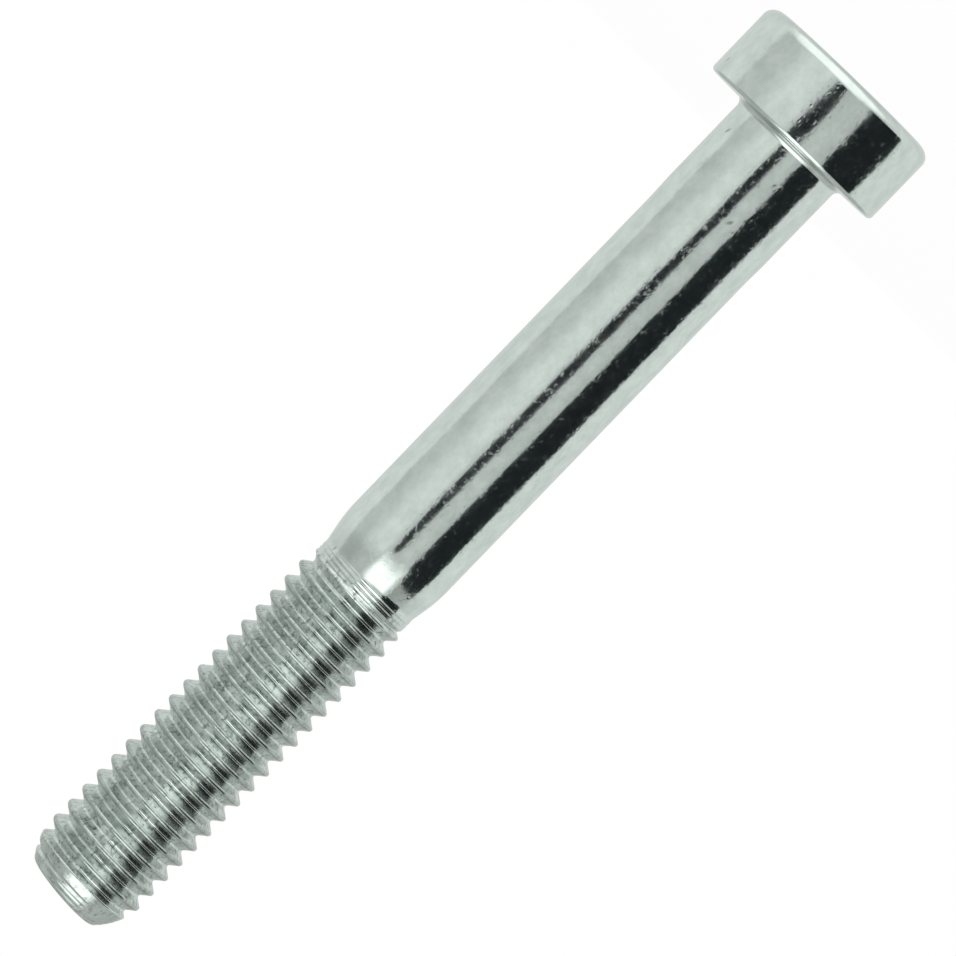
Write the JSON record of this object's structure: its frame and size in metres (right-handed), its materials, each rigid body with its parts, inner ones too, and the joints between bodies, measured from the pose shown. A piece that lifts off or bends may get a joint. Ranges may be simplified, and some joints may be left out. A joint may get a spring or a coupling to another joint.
{
  "type": "star drive cap screw",
  "caption": "Steel machine screw with a low cylindrical head, a six-point star socket and a part-threaded shank.",
  "frame": {"origin": "centre of the bearing face under the head, on the screw's axis", "axes": "+Z along the shank from the head to the threaded end, so the screw stands on its head; the socket opens towards -Z; +X through one point of the star socket and the short side of the sheared end"},
  "size_m": [0.0084, 0.0084, 0.0435],
  "materials": {
    "zinc_plated_steel": "bright zinc plating over cold forged and rolled steel, finely pitted"
  },
  "bodies": {
    "root": {"cap_screw": "zinc_plated_steel"}
  },
  "joints": []
}
